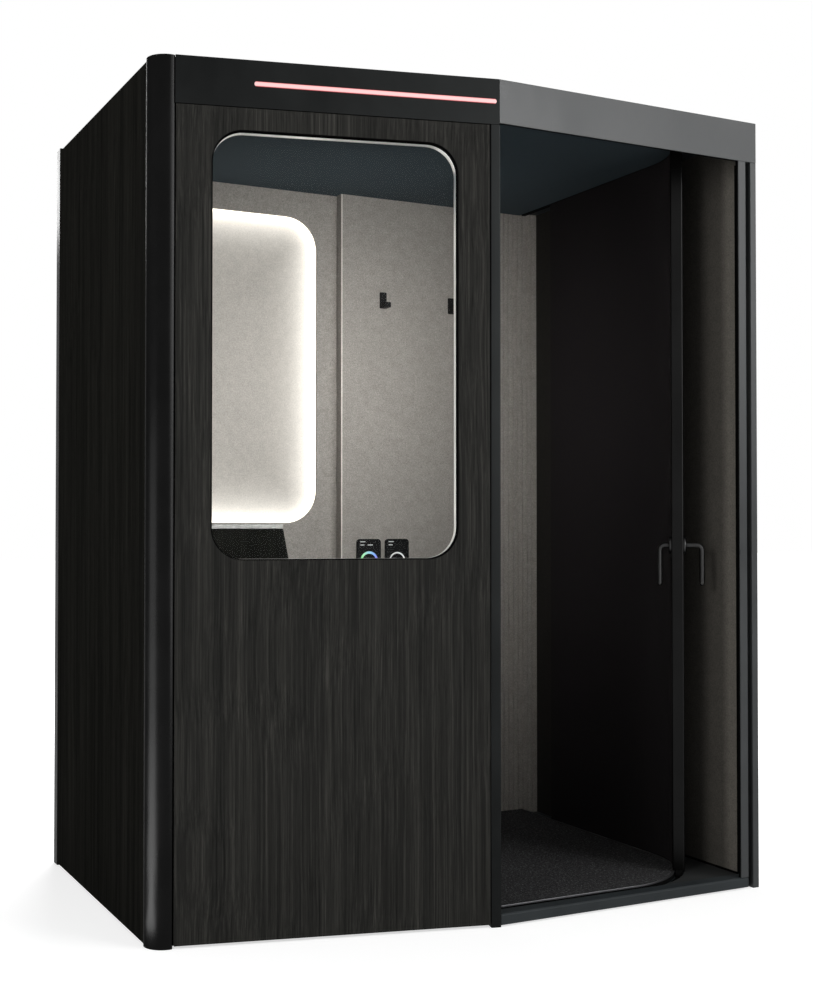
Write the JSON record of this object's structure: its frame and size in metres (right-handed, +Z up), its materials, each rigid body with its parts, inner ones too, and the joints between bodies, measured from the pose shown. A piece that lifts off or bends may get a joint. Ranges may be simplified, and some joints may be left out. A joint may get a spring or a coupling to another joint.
{
  "type": "acoustic office pod",
  "caption": "Free-standing acoustic booth with a slanted glazed front, a status light, a felt-lined room with a worktop, and a flexible door that slides round a bend into the side wall.",
  "frame": {"origin": "on the floor, under the centre of the pod's bounding box", "axes": "+Z up, +X to the right seen from the doorway side, -Y out of the doorway"},
  "size_m": [1.77, 1.25, 2.25],
  "materials": {
    "shell": "satin dark grey paint",
    "post": "satin anthracite paint",
    "dark_metal": "satin anthracite paint",
    "grey_metal": "smooth grey plate",
    "black_metal": "satin black",
    "wood": "charcoal wood veneer with fine vertical grain",
    "side_panel": "dark laminate on board",
    "felt": "warm grey acoustic felt",
    "carpet": "looped grey carpet",
    "ceiling": "dark teal felt",
    "silver_trim": "satin silver edge",
    "track": "anodised dark aluminium",
    "status_light": "lit red light bar behind a diffuser",
    "led": "lit warm white strip",
    "touch_panel": "black glass-like face",
    "black_plastic": "matt black",
    "glass": "clear laminated acoustic glass",
    "rubber": "black gasket",
    "worktop": "light grey laminate",
    "stile": "satin near-black",
    "brush": "black brush pile",
    "leaf": "near-black flexible acoustic leaf"
  },
  "bodies": {
    "pod": {"base_tray": "dark_metal", "foot_1": "black_plastic", "foot_2": "black_plastic", "foot_3": "black_plastic", "foot_4": "black_plastic", "carpet": "carpet", "carpet_trim": "silver_trim", "floor_track": "track", "corner_floor": "grey_metal", "front_column": "shell", "mid_post": "post", "right_post": "post", "back_left_post": "shell", "back_right_post": "shell", "door_header": "post", "front_header": "post", "status_light": "status_light", "front_panel": "wood", "left_panel": "side_panel", "right_panel": "side_panel", "back_panel": "side_panel", "front_lining": "felt", "left_lining": "felt", "right_lining": "felt", "back_lining": "felt", "power_box": "black_plastic", "recess_panel": "felt", "led_strip": "led", "proud_panel": "felt", "ribbed_panel": "felt", "coat_hook_1": "black_metal", "coat_hook_2": "black_metal", "touch_panel_1": "touch_panel", "touch_panel_2": "touch_panel", "window_glass": "glass", "window_gasket": "rubber", "window_trim": "silver_trim", "door_sill": "dark_metal", "door_jamb": "post", "ceiling_plate": "dark_metal", "ceiling_felt": "ceiling", "top_track": "track", "roof_panel": "side_panel", "fan_frame_1": "black_plastic", "fan_frame_2": "black_plastic", "worktop": "worktop", "worktop_support": "side_panel"},
    "door_carrier": {"leaf_carrier": "track", "door_leaf": "leaf"},
    "door_edge": {"door_stile": "stile", "stile_seal_bottom": "brush", "stile_seal_top": "brush", "rose_inside": "black_metal", "rose_outside": "black_metal"},
    "door_levers": {"lever_inside": "black_metal", "lever_outside": "black_metal", "lever_spindle": "track"},
    "fan_1": {"fan_rotor_1": "black_plastic"},
    "fan_2": {"fan_rotor_2": "black_plastic"}
  },
  "joints": [
    {"name": "door_turn", "type": "hinge", "parent": "pod", "child": "door_carrier", "pos_m": [0.5, -0.263, 0], "axis": [0, 0, -1], "range_deg": [0, 51.55], "deforming": ["door_leaf", "stile_seal_bottom", "stile_seal_top"]},
    {"name": "door_slide", "type": "slide", "parent": "door_carrier", "child": "door_edge", "axis": [-0.6218, -0.7832, 0], "range_m": [0, 0.46]},
    {"name": "lever_turn", "type": "hinge", "parent": "door_edge", "child": "door_levers", "pos_m": [0.73102, -0.44644, 1.001], "axis": [0.7832, -0.6218, 0], "range_deg": [0, 30], "stiffness_Nm_per_rad": 1},
    {"name": "fan_1_spin", "type": "hinge", "parent": "pod", "child": "fan_1", "pos_m": [-0.56, -0.235, 2.2], "axis": [0, 0, 1], "continuous": true},
    {"name": "fan_2_spin", "type": "hinge", "parent": "pod", "child": "fan_2", "pos_m": [-0.25, -0.235, 2.2], "axis": [0, 0, 1], "continuous": true}
  ],
  "couplings": [
    {"joint": "door_slide", "follows": "door_turn", "m_per_rad": 0.5112}
  ]
}
